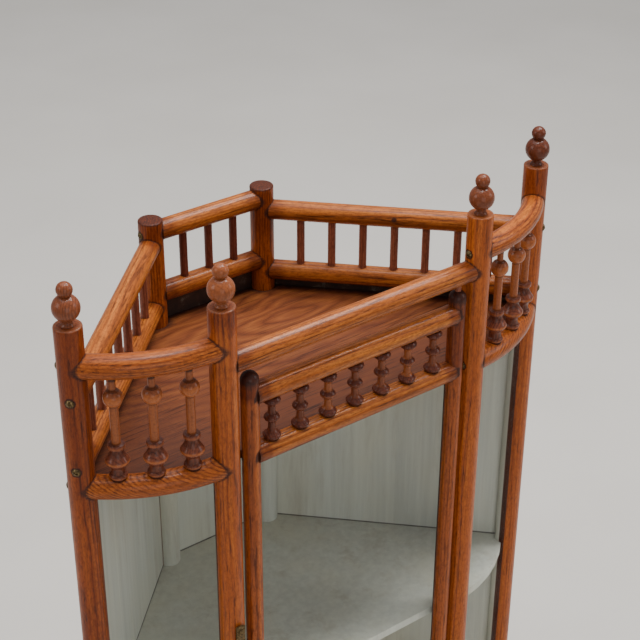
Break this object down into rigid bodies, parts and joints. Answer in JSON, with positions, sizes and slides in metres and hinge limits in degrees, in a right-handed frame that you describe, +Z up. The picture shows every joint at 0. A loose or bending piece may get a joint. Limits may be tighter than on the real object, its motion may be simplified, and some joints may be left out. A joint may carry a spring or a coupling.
{
  "type": "corner wall cabinet",
  "caption": "Glazed corner cabinet of round rods with bowed glass sides, a glazed pin-hung door and a stick and spindle gallery around an open top tray.",
  "frame": {"origin": "on the floor plane, under the middle of the cabinet's box", "axes": "+Z up, -Y out of the door towards the room, +Y into the corner, +X to the right of someone who faces the door, which hangs on that side"},
  "size_m": [0.5658, 0.2912, 0.8712],
  "materials": {
    "oak": "worn varnish",
    "turned_wood": "dark stain, varnished",
    "board_wood": "brown stain",
    "painted_wood": "worn sage paint",
    "clear_glass": "clear",
    "aged_brass": "tarnished"
  },
  "bodies": {
    "cabinet": {"back_panel_centre": "painted_wood", "back_panel_left": "painted_wood", "back_panel_right": "painted_wood", "back_rail_lower": "oak", "back_rail_top": "oak", "back_stick_1": "turned_wood", "back_stick_2": "turned_wood", "back_stick_3": "turned_wood", "baluster_left_1": "turned_wood", "baluster_left_2": "turned_wood", "baluster_left_3": "turned_wood", "baluster_right_1": "turned_wood", "baluster_right_2": "turned_wood", "baluster_right_3": "turned_wood", "bottom_board": "painted_wood", "bow_glass_left": "clear_glass", "bow_glass_right": "clear_glass", "bow_rail_bottom_left": "oak", "bow_rail_bottom_right": "oak", "bow_rail_lower_left": "oak", "bow_rail_lower_right": "oak", "bow_rail_top_left": "oak", "bow_rail_top_right": "oak", "finial_front_left": "turned_wood", "finial_front_right": "turned_wood", "finial_outer_left": "turned_wood", "finial_outer_right": "turned_wood", "front_rail_bottom": "oak", "front_rail_top": "oak", "pivot_collar": "aged_brass", "pivot_pin_bottom": "turned_wood", "pivot_pin_top": "turned_wood", "post_back_left": "oak", "post_back_right": "oak", "post_front_left": "oak", "post_front_right": "oak", "post_outer_left": "oak", "post_outer_right": "oak", "shelf": "painted_wood", "side_gallery_left": "oak", "side_gallery_right": "oak", "side_rail_top_left": "oak", "side_rail_top_right": "oak", "top_board": "board_wood", "turn_button_screw": "aged_brass"},
    "door": {"door_glass": "clear_glass", "door_knob": "turned_wood", "door_rail_bottom": "oak", "door_rail_middle": "oak", "door_rail_top": "oak", "door_spindle_1": "turned_wood", "door_spindle_2": "turned_wood", "door_spindle_3": "turned_wood", "door_spindle_4": "turned_wood", "door_spindle_5": "turned_wood", "door_spindle_6": "turned_wood", "door_spindle_7": "turned_wood", "door_stile_left": "oak", "door_stile_right": "oak"},
    "turn_button": {"turn_button": "aged_brass"}
  },
  "joints": [
    {"name": "door_swing", "type": "hinge", "parent": "cabinet", "child": "door", "pos_m": [0.12315, -0.12085, 0.4], "axis": [0, 0, 1], "range_deg": [0, 115]},
    {"name": "turn_button_turn", "type": "hinge", "parent": "cabinet", "child": "turn_button", "pos_m": [-0.1489, -0.13185, 0.4736], "axis": [0, -1, 0], "range_deg": [0, 90]}
  ]
}
